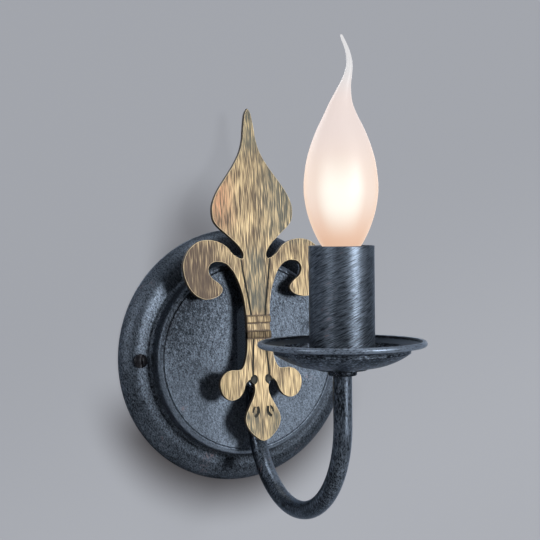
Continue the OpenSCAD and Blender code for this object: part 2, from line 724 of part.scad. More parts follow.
wall_bracket();
inlet_bush();
canopy();
canopy_screws();
terminal_block();
terminal_sleeves();
terminal_screws();
block_screw();
earth_screw();
earth_tag();
earth_wire();
live_wire();
neutral_wire();
arm_block();
block_nipple();
block_washer();
block_locknut();
fleur_plate();
fleur_studs();
stud_washers();
stud_nuts();
arm_tube();
arm_collar();
pan_seat();
drip_pan();
pan_nut();
candle_sleeve();
holder_base();
holder_body();
holder_shell();
holder_contact();
holder_terminals();
bulb_cap();
bulb_insulator();
bulb_contact();
bulb_glass();
bulb_stem();
bulb_filament();
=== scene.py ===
import json
from math import acos, asin, cos, pi, radians, sin, sqrt

import bpy
from mathutils import Euler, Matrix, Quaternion, Vector

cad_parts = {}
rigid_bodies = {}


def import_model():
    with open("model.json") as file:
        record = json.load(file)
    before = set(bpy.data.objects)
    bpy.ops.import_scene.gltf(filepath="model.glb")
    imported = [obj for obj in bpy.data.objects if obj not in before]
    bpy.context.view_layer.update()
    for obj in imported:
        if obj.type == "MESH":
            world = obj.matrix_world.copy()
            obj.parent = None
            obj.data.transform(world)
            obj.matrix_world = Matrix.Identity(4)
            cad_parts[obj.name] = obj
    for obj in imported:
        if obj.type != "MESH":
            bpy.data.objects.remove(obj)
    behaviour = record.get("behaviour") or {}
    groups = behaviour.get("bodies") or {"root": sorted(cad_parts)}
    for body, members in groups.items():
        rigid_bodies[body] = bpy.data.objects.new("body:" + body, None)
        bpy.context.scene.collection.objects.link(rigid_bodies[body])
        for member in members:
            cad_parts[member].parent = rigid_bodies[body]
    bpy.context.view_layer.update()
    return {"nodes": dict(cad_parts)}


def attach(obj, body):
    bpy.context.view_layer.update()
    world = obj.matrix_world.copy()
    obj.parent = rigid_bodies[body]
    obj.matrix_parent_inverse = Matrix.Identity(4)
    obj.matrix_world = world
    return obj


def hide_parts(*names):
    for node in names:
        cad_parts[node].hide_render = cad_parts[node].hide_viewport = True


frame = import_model()

# ---- Camera ----
# The viewpoint of the photograph: left of the sconce and a little above its middle, looking
# slightly down through a long lens. Lengths are in millimetres, and mm turns them to metres.
mm = 0.001
eye = Vector((-348.08, -745.95, 77.13)) * mm
view_turn = radians(-26.353)
view_height = radians(2.217)
view_roll = radians(-0.575)
for leftover in [o for o in bpy.data.objects if o.name in ("Cube", "Light", "Camera")]:
    bpy.data.objects.remove(leftover)
bpy.ops.object.camera_add(location=eye)
camera = bpy.context.object
camera.rotation_mode = "QUATERNION"
level_view = Euler((pi / 2 - view_height, 0, view_turn)).to_quaternion()
camera.rotation_quaternion = level_view @ Quaternion((0, 0, 1), view_roll)
camera.data.sensor_width = 36
camera.data.lens = 101.84
bpy.context.scene.camera = camera


# ---- Canopy ----
# The round wall cover is spun from 1 mm sheet steel: a sloping brim, a cove, an upright step and a
# flat disc with a fine groove near its edge. Black lacquer is dry-brushed with bluish pewter.
class Shade:
    """A socket of the material being made. Sums and products of it add Math nodes."""

    def __init__(self, socket):
        self.socket = socket

    @classmethod
    def node(cls, kind, settings=(), sockets=(), out=0):
        """Adds a node: its settings first, then the values or links of its sockets."""
        made = cls.tree.nodes.new("ShaderNode" + kind)
        for key, value in dict(settings).items():
            setattr(made, key, value)
        for key, value in dict(sockets).items():
            if isinstance(value, cls):
                cls.tree.links.new(value.socket, made.inputs[key])
            else:
                made.inputs[key].default_value = value
        return cls(made.outputs[out])

    def maths(self, operation, *others):
        return self.node("Math", {"operation": operation}, enumerate((self, *others)))

    def __add__(self, other):
        return self.maths("ADD", other)

    def __mul__(self, other):
        return self.maths("MULTIPLY", other)

    def __sub__(self, other):
        return self.maths("SUBTRACT", other)

    def __rsub__(self, other):
        return self.node("Math", {"operation": "SUBTRACT"}, {0: other, 1: self})

    __radd__ = __add__
    __rmul__ = __mul__

    def step(self, low, high):
        """0 below low, 1 above high, smooth between them."""
        return self.node("MapRange", {"interpolation_type": "SMOOTHSTEP"},
                         {"Value": self, "From Min": low, "From Max": high})

    def past(self, low, high):
        """The same step for a length, between low mm and high mm."""
        return self.step(low * mm, high * mm)

    def mix(self, first, second):
        """A colour that goes from first to second as this value goes from 0 to 1."""
        return self.node("Mix", {"data_type": "RGBA"}, {0: self, 6: first, 7: second}, out=2)


def start_material(name):
    """Starts an empty material, whose nodes the Shade calls that follow add."""
    material = bpy.data.materials.new(name)
    material.use_nodes = True
    material.node_tree.nodes.clear()
    Shade.tree = material.node_tree
    return material


def place(scale=(1, 1, 1), turn=(0, 0, 0), point=None):
    """A point on the object, turned and then stretched for the texture that reads it."""
    if point is None:
        point = Shade.node("TexCoord", out=3)
    turned_point = Shade.node("Mapping", {}, {0: point, "Rotation": turn})
    return Shade.node("Mapping", {}, {0: turned_point, "Scale": scale})


def grain(size, detail=4, rough=0.6, scale=(1, 1, 1), turn=(0, 0, 0), point=None):
    """Noise whose patches are about size mm across."""
    return Shade.node("TexNoise", {}, {
        "Vector": place(scale, turn, point), "Scale": 1 / (size * mm),
        "Detail": detail, "Roughness": rough})


def bumps(height, depth):
    """Surface relief from a height of 0 to 1 that is depth mm deep."""
    return Shade.node("Bump", {}, {"Height": height, "Distance": depth * mm, "Strength": 1})


def end_with(shader, kind="OutputMaterial"):
    """Links the shader to a new output node."""
    Shade.tree.links.new(shader.socket, Shade.tree.nodes.new("ShaderNode" + kind).inputs[0])


def surface(**sockets):
    """Ends the material with a Principled shader. Names are the sockets' own, with _ for spaces."""
    named = {key.replace("_", " "): value for key, value in sockets.items()}
    end_with(Shade.node("BsdfPrincipled", {}, named))


def spot_on():
    """The x, y and z of the point being shaded, in metres."""
    point = Shade.node("TexCoord", out=3)
    return [Shade.node("SeparateXYZ", {}, {0: point}, out=i) for i in range(3)]


def pewter(name, share=0.5, cloudy=0.25, stroke=(1, 1, 1), turn=(0, 0, 0), rough=0.5, around=None,
           soft=0.15):
    """Near-black lacquer with a share of bluish pewter brushed over it, and more on worn edges. The
    share is a number, or a function that gives it over the surface, and a soft brushing has less
    contrast. Strokes lie along the object's axes, or are wrapped round an upright axis at the
    depth around."""
    lacquer_black = (0.004, 0.005, 0.007, 1)
    pewter_blue = (0.19, 0.235, 0.3, 1)
    rust_brown = (0.15, 0.05, 0.03, 1)
    material = start_material(name)
    point = None
    if around is not None:
        wrap_r = 15
        across, inward, upward = spot_on()
        angle = across.maths("ARCTAN2", (inward + around * mm) * -1)
        point = Shade.node("CombineXYZ", {}, {0: angle * (wrap_r * mm), 2: upward})
    speck = grain(1, 4, 0.6, stroke, turn, point)
    fine = grain(0.5, 2, 0.6, stroke, turn, point)
    cloud = grain(15, 3, 0.55)
    if callable(share):
        share = share()
    brushed = speck * 0.5 + fine * 0.5 + (cloud - 0.5) * cloudy + (share - 0.5)
    cover = brushed.step(0.52 - soft, 0.52 + soft)
    worn = Shade.node("NewGeometry", out=7).step(0.53, 0.6) * fine.step(0.35, 0.6)
    cover = cover.maths("MAXIMUM", worn)
    colour = cover.mix(lacquer_black, pewter_blue)
    rust = cloud.step(0.63, 0.7) * speck.step(0.52, 0.64)
    surface(Base_Color=(rust * 0.45).mix(colour, rust_brown), Metallic=0.85 - cover * 0.3,
            Roughness=rough - cover * 0.06, Specular_Tint=(0.75, 0.86, 1, 1),
            Normal=bumps(speck * 0.6 + fine * 0.4, 0.05))
    return material


def arc(x, y, r, start, end, steps):
    """Stations along an arc, in degrees."""
    turns = [radians(start + (end - start) * i / steps) for i in range(steps + 1)]
    return [(x + r * cos(t), y + r * sin(t)) for t in turns]


def drawn(name, path):
    """Draws a line by extruding a single vertex from point to point, and stays in edit mode."""
    bpy.ops.object.select_all(action="DESELECT")
    bpy.ops.mesh.primitive_plane_add(size=mm)
    piece = bpy.context.object
    piece.name = piece.data.name = name
    bpy.ops.object.mode_set(mode="EDIT")
    bpy.ops.mesh.merge(type="CENTER")
    points = [Vector(p) * mm for p in path]
    bpy.ops.transform.translate(value=points[0])
    for last, point in zip(points, points[1:]):
        bpy.ops.mesh.extrude_vertices_move(TRANSFORM_OT_translate={"value": point - last})
    return piece


def close_seams():
    """Merges the doubles of a spun or mirrored mesh and turns its faces outwards."""
    bpy.ops.mesh.select_all(action="SELECT")
    bpy.ops.mesh.remove_doubles(threshold=0.004 * mm)
    bpy.ops.mesh.normals_make_consistent(inside=False)


def pick(piece):
    """Makes the piece the active object and the only selected one."""
    bpy.ops.object.select_all(action="DESELECT")
    piece.select_set(True)
    bpy.context.view_layer.objects.active = piece


def smooth(piece, angle=35):
    """Leaves edit mode, with edges sharper than the angle kept sharp."""
    if bpy.context.mode != "OBJECT":
        bpy.ops.object.mode_set(mode="OBJECT")
    pick(piece)
    bpy.ops.object.shade_smooth_by_angle(angle=radians(angle))


def turned(name, section, steps=96, depth=None, level=False):
    """Spins a section of (radius, height) stations round an upright axis at that depth from the
    wall. A level section is (radius, depth), spun round the line that leaves the wall at the
    origin."""
    if level:
        path, foot, axis = [(r, -d, 0) for r, d in section], (0, 0, 0), (0, 1, 0)
    else:
        path, foot, axis = [(r, -depth, z) for r, z in section], (0, -depth * mm, 0), (0, 0, 1)
    piece = drawn(name, path)
    bpy.ops.mesh.select_all(action="SELECT")
    bpy.ops.mesh.spin(steps=steps, angle=2 * pi, center=foot, axis=axis)
    close_seams()
    smooth(piece)
    return piece


def finish_piece(piece, material, slot, body, *nodes):
    """Gives a piece its material and lets it stand for its CAD nodes. The slot is not used."""
    if not piece.data.materials:
        piece.data.materials.append(material)
    piece.data.materials[0] = material
    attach(piece, body)
    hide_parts(*nodes)


canopy_r = 67.5
canopy_depth = 17.5
crown_r = 52
crown_roll = 2.5
cove_r = 3
brim_depth = 8
brim_flat_r = 58
brim_edge = 1.5
sheet = 1
brim_w = canopy_r - brim_flat_r
brim_h = brim_depth - brim_edge
brim_arc = (brim_w ** 2 + brim_h ** 2) / (2 * brim_h)


def canopy_skin(t):
    """Stations of the canopy's face, or of its back where t is the sheet's thickness."""
    edge_turn = acos((brim_w - t) / (brim_arc - t)) * 180 / pi
    return ([(canopy_r - t, 0), (canopy_r - t, brim_edge * 0.6)]
            + arc(brim_flat_r, brim_depth - brim_arc, brim_arc - t, edge_turn, 90, 20)
            + arc(crown_r + cove_r, brim_depth + cove_r, cove_r + t, 270, 180, 10)
            + arc(crown_r - crown_roll, canopy_depth - crown_roll, crown_roll - t, 0, 90, 10))


groove_r = 48.8
groove = [(groove_r + out, canopy_depth - deep)
          for out, deep in ((0.4, 0), (0.2, 0.14), (0, 0.35), (-0.2, 0.14), (-0.4, 0))]
canopy = turned("canopy_cover", canopy_skin(0) + groove + [(30, canopy_depth), (0, canopy_depth)]
                + [(0, canopy_depth - sheet)] + canopy_skin(sheet)[::-1] + [(canopy_r, 0)],
                128, level=True)


def canopy_share_and_painted_light():
    """A share of pewter with painted light and shade in it. Painted light gives the disc more
    towards the bottom and the brim more towards the top. Painted shade gives the cove, the upper
    left of the brim and the disc's upper left less. The disc's edge gets more."""
    across, _, upward = spot_on()
    out = (across * across + upward * upward).maths("SQRT")
    disc = 1 - out.past(50.5, 53)
    edge = out.past(49.7, 50.5) * (1 - out.past(51.2, 52))
    # Painted shade: the cove, the brim's upper left and the disc's upper left get less pewter.
    cove = out.past(51, 53) * (1 - out.past(54, 59))
    left = (1 - across.past(-62, -30)) * upward.past(-60, -10) * (1 - disc)
    shaded = disc * (1 - across.past(-45, 0)) * upward.past(-20, 30)
    # Painted light: the disc is lighter towards the bottom, and the rest lighter towards the top.
    return (disc * (upward * -2.2) + edge * 0.14 - left * 0.02 - cove * 0.08 - shaded * 0.17
            + upward + 0.45)


canopy_pewter = pewter("pewter_canopy", canopy_share_and_painted_light, cloudy=0.12, stroke=(1, 1, 0.5),
                       turn=(0, radians(20), 0), soft=0.34)
finish_piece(canopy, canopy_pewter, "dark_steel", "fixture", "canopy")

# ---- Canopy screws ----
# Two round-headed steel screws hold the canopy to its bracket, at the left and right of the brim.
# Each head is a turned dome with a slot milled across it. The finish is dark satin lacquer.
screw_out = 58.2
shank_r = 2
shank_end = 6
head_r = 3.6
head_h = 2.4
dome_r = 5.4
slot_w = 1
slot_long = 9
slot_deep = 1.2
dome = [(0, shank_end), (shank_r, shank_end), (shank_r, brim_depth), (head_r - 0.3, brim_depth)]
dome += [(head_r, brim_depth + 0.5)] + arc(0, brim_depth + head_h - dome_r, dome_r, 47, 90, 8)
screw = turned("canopy_screw_left", dome, 40, level=True)
bpy.ops.object.select_all(action="DESELECT")
bpy.ops.mesh.primitive_cube_add(
    size=1, scale=(slot_w * mm, 2 * slot_deep * mm, slot_long * mm),
    location=(0, -(brim_depth + head_h) * mm, 0))
cutter = bpy.context.object


def cut(piece, tool, inside=None):
    """Takes the tool's shape out of the piece. The cut faces can get a material of their own."""
    if inside:
        tool.data.materials.append(inside)
    modifier = piece.modifiers.new("cut", "BOOLEAN")
    modifier.operation = "DIFFERENCE"
    modifier.solver = "EXACT"
    modifier.material_mode = "TRANSFER"
    modifier.object = tool
    pick(piece)
    bpy.ops.object.modifier_apply(modifier="cut")
    bpy.data.objects.remove(tool)


cut(screw, cutter)
smooth(screw)
lacquer = start_material("dark_lacquer")
scratch = grain(0.5, 4, 0.7, (1, 1, 3))
surface(Base_Color=scratch.step(0.5, 0.75).mix((0.009, 0.009, 0.012, 1), (0.06, 0.065, 0.08, 1)),
        Metallic=0.7, Roughness=0.32 + scratch * 0.15, Normal=bumps(scratch, 0.03))
screw_right = screw.copy()
screw_right.data = screw.data.copy()
screw_right.name = screw_right.data.name = "canopy_screw_right"
bpy.context.collection.objects.link(screw_right)
for piece, side in ((screw, -1), (screw_right, 1)):
    pick(piece)
    piece.location.x = side * screw_out * mm
    bpy.ops.object.transform_apply()
    finish_piece(piece, lacquer, "dark_screw", "fixture", "canopy_screws")

# ---- Bracket, clamp and connector ----
# Behind the canopy a folded strap of zinc-plated steel takes the two wall screws, the canopy's
# screws, the earth point and a three-way connector. The CAD solids are right and get their finish.


def dress(nodes, material):
    """Gives CAD nodes that stay in sight their material."""
    for name in nodes:
        for held in frame["nodes"][name].material_slots:
            held.material = material


spangles_per_m = 420
zinc = start_material("zinc_plate")
spangle = Shade.node("TexVoronoi", {}, {"Vector": place(), "Scale": spangles_per_m}, out=1)
tone = Shade.node("SeparateColor", {}, {0: spangle})
haze = grain(5, 4)
surface(Base_Color=(tone * 0.5 + haze * 0.5).mix((0.42, 0.44, 0.47, 1), (0.66, 0.68, 0.7, 1)),
        Metallic=0.9, Roughness=0.3 + haze * 0.2, Normal=bumps(grain(0.3, 2), 0.01))
dress(["wall_bracket", "block_nipple", "block_washer", "block_locknut", "stud_washers", "stud_nuts",
       "fleur_studs", "terminal_screws", "block_screw", "earth_tag", "pan_nut"], zinc)

brass = start_material("turned_brass")
tarnish = grain(2.5, 4, 0.6)
lathe = grain(0.15, 2, 0.5, (0.2, 0.2, 1))
surface(Base_Color=tarnish.step(0.4, 0.7).mix((0.74, 0.55, 0.25, 1), (0.42, 0.27, 0.11, 1)),
        Metallic=0.95, Roughness=0.25 + tarnish * 0.2, Normal=bumps(lathe, 0.008))
dress(["terminal_sleeves", "earth_screw", "holder_shell", "holder_contact",
       "holder_terminals"], brass)


def moulded(name, low, high, rough):
    """Moulded plastic: a faint mottle and a fine moulded grain."""
    material = start_material(name)
    surface(Base_Color=grain(3, 3).mix(low, high), Roughness=grain(1.2, 3) * 0.15 + (rough - 0.07),
            Normal=bumps(grain(0.25, 2), 0.012))
    return material


dress(["terminal_block"],
      moulded("ivory_moulding", (0.62, 0.58, 0.46, 1), (0.78, 0.75, 0.64, 1), 0.45))
dress(["inlet_bush", "holder_base", "holder_body"],
      moulded("black_moulding", (0.014, 0.014, 0.015, 1), (0.035, 0.035, 0.037, 1), 0.5))
dress(["live_wire"], moulded("brown_insulation", (0.13, 0.05, 0.02, 1), (0.2, 0.09, 0.04, 1), 0.4))
dress(["neutral_wire"], moulded("blue_insulation", (0.03, 0.1, 0.36, 1), (0.06, 0.17, 0.5, 1), 0.4))
wave_scale = 120
earth_cover = start_material("green_and_yellow_insulation")
stripe = Shade.node("TexWave", {"bands_direction": "DIAGONAL"},
                    {"Vector": place(), "Scale": wave_scale, "Distortion": 0.4})
surface(Base_Color=stripe.step(0.45, 0.55).mix((0.08, 0.36, 0.06, 1), (0.72, 0.6, 0.05, 1)),
        Roughness=0.4)
dress(["earth_wire"], earth_cover)

# ---- Arm block ----
# A cast steel block behind the ornament joins the canopy, the arm tube and the ornament's studs.
# It has round ends, its front is cut to the ornament's lean, and it has the canopy's pewter finish,
# cut down to a trace as painted shade, which keeps it nearly black.
block_w = 14
block_low = -16
block_top = 28.5
block_deep = 11
spare = 4
end_round = block_w / 2 - 0.01
plate_back = canopy_depth + block_deep
lean = radians(5.5)
bpy.ops.object.select_all(action="DESELECT")
bpy.ops.mesh.primitive_cube_add(
    size=1, scale=(block_w * mm, (block_deep + spare) * mm, (block_top - block_low) * mm),
    location=(0, -(canopy_depth + (block_deep + spare) / 2) * mm, (block_top + block_low) / 2 * mm))
block = bpy.context.object
block.name = block.data.name = "arm_joint_block"
bpy.ops.object.transform_apply()
bpy.ops.object.mode_set(mode="EDIT")
bpy.ops.mesh.select_mode(type="EDGE")
bpy.ops.mesh.select_all(action="DESELECT")
bpy.ops.object.mode_set(mode="OBJECT")
for edge in block.data.edges:
    ends = [block.data.vertices[v].co for v in edge.vertices]
    edge.select = abs(ends[0].y - ends[1].y) > mm
bpy.ops.object.mode_set(mode="EDIT")
bpy.ops.mesh.bevel(offset=end_round * mm, segments=14, affect="EDGES")
bpy.ops.mesh.select_all(action="SELECT")
bpy.ops.mesh.bisect(plane_co=(0, -plate_back * mm, 0), plane_no=(0, -cos(lean), sin(lean)),
                    use_fill=True, clear_outer=True)
bpy.ops.mesh.select_all(action="SELECT")
bpy.ops.mesh.remove_doubles(threshold=0.02 * mm)
bpy.ops.mesh.select_mode(type="VERT")
smooth(block)
# Painted shade: only a trace of pewter, so the block stays nearly black.
finish_piece(block, pewter("pewter_block", 0.16), "dark_steel", "fixture", "arm_block")

# ---- Fleur-de-lis ----
# A flat plate 2.5 mm thick, cast in brass, leans back from the block. It has rounded rims,
# engraved lines and a corded tie round its waist. Antique gold is brushed upright over dark
# green-black, and the rims are rubbed pale.
tip = 131.5
foot = 43
plate_t = 2.5
rim_round = 0.8
# Half the outline: how far out, and how far below the tip or above the foot.
upper = [
    (0, 0), (1.7, 3), (3, 10.5), (3.9, 17), (6, 23.5), (9.8, 30), (14.2, 36), (19, 42.5),
    (22, 48), (23.3, 53), (22.8, 58.5), (20.6, 62), (16, 66), (10.4, 71), (7.6, 74.5), (6.6, 77),
    (7.2, 79), (9, 78.8), (12.7, 76.5), (16.3, 72.4), (21.5, 69.8), (27, 69), (32.5, 70.1),
    (37.6, 74.1), (40.5, 79.5), (41, 84.5), (39.4, 91), (35.8, 96.5), (30.4, 99.6), (25, 99.3),
    (21, 97.5), (19.5, 94.6), (21.6, 91.5), (25.5, 88.5), (27, 84.5), (25.2, 81.3), (21.2, 80.4),
    (16.8, 81.6), (13.3, 85.2), (11.2, 89), (9.4, 93.5), (8.1, 98), (7.2, 103.5), (6.7, 110.5),
    (6.7, 118.5)]
lower = [
    (7.1, 49), (8.4, 42.5), (10.4, 38.4), (13.2, 37.5), (16.8, 37.7), (20.6, 36.2), (23.1, 33),
    (23.5, 29), (22.2, 25.2), (19.4, 22.6), (16.2, 22), (12.8, 23.4), (10.4, 26.4), (9.2, 29.6),
    (8, 31.2), (6, 31.3), (4.4, 29.8), (3.9, 26.8), (4.9, 23.2), (6.8, 19.6), (8.8, 16),
    (10, 12.8), (9.9, 9.8), (8.5, 6.6), (6, 3.6), (2.6, 0.9), (0, 0)]
half = [(x, tip - h) for x, h in upper] + [(x, h - foot) for x, h in lower]


def curved(points, steps):
    """A smooth line through the points, with that many steps in each span."""
    last = len(points) - 1
    line = []
    for i in range(last):
        a, b, c, d = [Vector(points[k]) for k in (max(i - 1, 0), i, i + 1, min(i + 2, last))]
        for t in [k / steps for k in range(steps)]:
            line.append(0.5 * (2 * b + (c - a) * t + (2 * a - 5 * b + 4 * c - d) * t ** 2
                               + (3 * b - a - 3 * c + d) * t ** 3))
    return line + [Vector(points[last])]


plate = drawn("fleur_de_lis", [(*p, 0) for p in curved(half, 5)])
bpy.ops.mesh.select_all(action="SELECT")
bpy.ops.mesh.duplicate()
bpy.ops.transform.resize(value=(-1, 1, 1), center_override=(0, 0, 0))
close_seams()
bpy.ops.mesh.edge_face_add()
bpy.ops.mesh.extrude_region_move(TRANSFORM_OT_translate={"value": (0, 0, plate_t * mm)})
bpy.ops.mesh.region_to_loop()
bpy.ops.mesh.bevel(offset=rim_round * mm, segments=4, affect="EDGES", clamp_overlap=True)
bpy.ops.mesh.select_all(action="SELECT")
bpy.ops.mesh.normals_make_consistent(inside=False)
bpy.ops.object.mode_set(mode="OBJECT")


def groove_tool(path, width):
    """A rod with round ends along a path on the plate's face, as wide as the engraved line."""
    rod = drawn("groove", [(x, z, plate_t + lift) for x, z, lift in path])
    bpy.ops.object.mode_set(mode="OBJECT")
    bpy.ops.object.convert(target="CURVE")
    rod = bpy.context.object
    rod.data.bevel_depth = width / 2 * mm
    rod.data.bevel_resolution = 2
    rod.data.use_fill_caps = True
    bpy.ops.object.convert(target="MESH")
    rod = bpy.context.object
    bpy.ops.object.mode_set(mode="EDIT")
    close_seams()
    bpy.ops.object.mode_set(mode="OBJECT")
    return rod


# Each line's (x, height, lift out of the face) on the right half, and its width.
engraving = [
    ([(8.3, 52.5, 0.5), (7.7, 47, 0.05), (6.7, 40, 0), (5.6, 34, 0), (4.7, 28, 0), (4, 22.6, 0)],
     1.1),
    ([(3.4, 10.2, 0), (3.9, 3, 0), (4.5, -4, 0), (4.6, -9.4, 0)], 1.1),
    ([(3, -25, 0.4), (2.7, -27, 0.1), (3.4, -29, 0), (4.9, -30.2, 0.4)], 1.7),
    ([(4.4, -25, 0.4), (5.4, -26.2, 0.1), (5.8, -28, 0.4)], 1.2),
]
# The pits above the foot on the right half: x, height, half width and half height.
pits = [(4.3, -11, 2.2, 2.8), (6.4, -12.2, 1.7, 1.4)]
pit_turn = radians(25)
pit_lift = 0.2
patina = start_material("dark_patina")
surface(Base_Color=grain(0.6, 3).mix((0.008, 0.01, 0.009, 1), (0.05, 0.05, 0.04, 1)), Metallic=0.3,
        Roughness=0.6, Normal=bumps(grain(0.5, 2), 0.05))
for path, width in engraving:
    for side in (-1, 1):
        rod = groove_tool([(side * x, z, lift) for x, z, lift in curved(path, 3)], width)
        cut(plate, rod, patina)
for side in (-1, 1):
    for x, z, wide, tall in pits:
        bpy.ops.object.select_all(action="DESELECT")
        bpy.ops.mesh.primitive_uv_sphere_add(
            segments=20, ring_count=10, radius=1, rotation=(0, 0, side * pit_turn),
            scale=(wide * mm, tall * mm, mm),
            location=(side * x * mm, z * mm, (plate_t + pit_lift) * mm))
        cut(plate, bpy.context.object, patina)
# The rims of both flat sides stay sharp, also where a line or pit cuts into them.
bpy.ops.object.mode_set(mode="EDIT")
bpy.ops.mesh.select_mode(type="FACE")
bpy.ops.mesh.select_all(action="DESELECT")
bpy.ops.object.mode_set(mode="OBJECT")
for face in plate.data.polygons:
    face.select = abs(face.normal.z) > 0.999
bpy.ops.object.mode_set(mode="EDIT")
bpy.ops.mesh.region_to_loop()
bpy.ops.mesh.mark_sharp()
bpy.ops.mesh.select_mode(type="VERT")
smooth(plate, 30)

# The tie: cords across the waist, each from 0.4 mm over the back to 0.7 mm proud of the face.
cord_w = 14
cord_h = 3.5
cord_z = 12.4
cord_pitch = 4
cord_back = 0.4
cord_proud = 0.7
cord_round = 0.45
bpy.ops.object.select_all(action="DESELECT")
bpy.ops.mesh.primitive_cube_add(
    size=1, scale=(cord_w * mm, cord_h * mm, (plate_t + cord_proud - cord_back) * mm),
    location=(0, cord_z * mm, (plate_t + cord_proud + cord_back) / 2 * mm))
cord = bpy.context.object
bpy.ops.object.transform_apply()
bpy.ops.object.mode_set(mode="EDIT")
bpy.ops.mesh.select_all(action="SELECT")
bpy.ops.mesh.bevel(offset=cord_round * mm, segments=4, affect="EDGES")
smooth(cord, 60)
# The first copy ends up at the top. The second isn't made active, so it stays on the first cord:
# two cords stand proud, and the one between them is only painted.
cords = [cord]
for lift in (cord_pitch, 2 * cord_pitch):
    bpy.ops.object.select_all(action="DESELECT")
    cord.select_set(True)
    bpy.ops.object.duplicate()
    cords.append(bpy.context.object)
    bpy.context.object.location.y = lift * mm
for piece in cords:
    piece.select_set(True)
plate.select_set(True)
bpy.context.view_layer.objects.active = plate
bpy.ops.object.join()
plate.rotation_euler = (pi / 2 - lean, 0, 0)
plate.location = (0, -plate_back * mm, 0)
bpy.ops.object.transform_apply()


def turned_to(way):
    """How far the surface faces that way: 1 straight on, 0 edge on, -1 turned away."""
    normal = Shade.node("TexCoord", out=1)
    return Shade.node("VectorMath", {"operation": "DOT_PRODUCT"}, {0: normal, 1: way}, out=1)


light_gold = (0.56, 0.43, 0.235, 1)
deep_gold = (0.3, 0.22, 0.11, 1)
lamp_glow_copper = (0.5, 0.25, 0.13, 1)
painted_shadow_umber = (0.1, 0.055, 0.035, 1)
brown_black = (0.045, 0.024, 0.015, 1)
green_black = (0.03, 0.05, 0.05, 1)
rubbed_gold = (0.66, 0.54, 0.34, 1)
raw_dark = (0.022, 0.017, 0.013, 1)
raw_light = (0.1, 0.072, 0.04, 1)
edge_shade_dark = (0.03, 0.022, 0.016, 1)
antique = start_material("antique_gold")
facing = turned_to((0, -cos(lean), sin(lean)))
across, _, upward = spot_on()
beside = across.maths("ABSOLUTE")
brush = grain(0.55, 1, 0.5, (1, 0.05, 0.07), (0, radians(3), 0))
hair = grain(0.34, 0, 0.5, (1, 0.05, 0.045), (0, radians(-2), 0))
streak = grain(2.4, 4, 0.7, (1, 0.1, 0.16), (0, radians(4), 0))
patch = grain(12, 3, 0.5, (1, 1, 0.6))
spear = upward.past(56, 66)
right_side = across.past(-4, 16) * spear
waist = upward.past(22, 28) * (1 - upward.past(50, 66))
stem = (1 - beside.past(3, 8)) * waist
# Painted shadow of the candle sleeve: the left scroll gets more dark strokes and a browner gold.
sleeve_shadow_on_scroll = (1 - across.past(-27, -17)) * upward.past(20, 30) * (1 - spear)
finial = (1 - upward.past(-30, -23)) * beside.past(-4, 6)
neck = upward.past(100, 115)
ends = 1 - upward.past(-20, 15)
share = ((patch - 0.5) * 0.15 + right_side * 0.07 + stem * 0.07 + sleeve_shadow_on_scroll * 0.1
         + finial * 0.09 + neck * 0.05 - ends * 0.05)
dark = (brush * 0.4 + hair * 0.3 + streak * 0.3 + share).step(0.37, 0.63)
gold_tone = hair.step(0.3, 0.7).mix(light_gold, deep_gold)
# Painted light: a warm glow from the lit lamp turns the spear's left side copper.
belly = upward.past(62, 74) * (1 - upward.past(88, 104))
lamp_glow_on_spear = (1 - across.past(-20, -6)) * belly
gold_tone = (lamp_glow_on_spear * (1 - dark * 0.8)).mix(gold_tone, lamp_glow_copper)
# Painted shadow: the left scroll's gold is darkened to umber.
gold_tone = (sleeve_shadow_on_scroll * 0.4).mix(gold_tone, painted_shadow_umber)
green = right_side.maths("MAXIMUM", stem).maths("MAXIMUM", finial).maths("MAXIMUM", neck)
dark_tone = (green * 0.85).mix(brown_black, green_black)
from_line = (upward - (cord_z - cord_h / 2) * mm).maths("PINGPONG", cord_pitch / 2 * mm)
cord_line = from_line + (brush - 0.5) * (0.6 * mm)
tied = upward.past(9.5, 10.5) * (1 - upward.past(22.8, 23.6))
tied = tied * (1 - beside.past(7.2, 7.6))
dark = dark.maths("MAXIMUM", tied * (1 - cord_line.past(0.2, 0.8)))
face = (dark * 0.9).mix(gold_tone, dark_tone)
rim = facing.step(0.3, 0.6) * (1 - facing.step(0.985, 0.998)) * (1 - tied)
face = (rim * (hair * 0.4 + 0.6)).mix(face, rubbed_gold)
cast_back = (patch * 0.5 + grain(0.9) * 0.5).step(0.4, 0.65).mix(raw_dark, raw_light)
# The plate's side faces are painted near black, as painted shade.
cast_back = facing.step(-0.9, -0.2).mix(cast_back, edge_shade_dark)
surface(Base_Color=facing.step(0.2, 0.5).mix(cast_back, face),
        Metallic=0.35 - dark * 0.15, Roughness=0.5 + dark * 0.08,
        Normal=bumps(1 - dark * 0.5 - brush * 0.3, 0.06))
finish_piece(plate, antique, "antique_gold", "fixture", "fleur_plate")

# ---- Arm tube ----
# One length of 9 mm steel tube with a 1 mm wall, bent to a U on a former: it leaves the block
# downwards, turns forward and rises into the collar under the pan.
tube_r = 4.5
arm_depth = canopy_depth + block_deep / 2
bend_r = 48
bend_low = 24
tube_wall = 1
arm_start = -6
arm_top = 0.8
end_ring = 0.5
candle_depth = arm_depth + 2 * bend_r
bpy.ops.object.select_all(action="DESELECT")
bpy.ops.mesh.primitive_circle_add(vertices=48, radius=tube_r * mm,
                                  location=(0, -arm_depth * mm, arm_start * mm))
tube = bpy.context.object
tube.name = tube.data.name = "bent_arm"
bpy.ops.object.transform_apply()
bpy.ops.object.mode_set(mode="EDIT")
for rise in (-end_ring, -bend_low - arm_start + end_ring):
    bpy.ops.mesh.extrude_region_move(TRANSFORM_OT_translate={"value": (0, 0, rise * mm)})
bpy.ops.mesh.spin(steps=64, angle=pi, center=(0, -(arm_depth + bend_r) * mm, -bend_low * mm),
                  axis=(1, 0, 0))
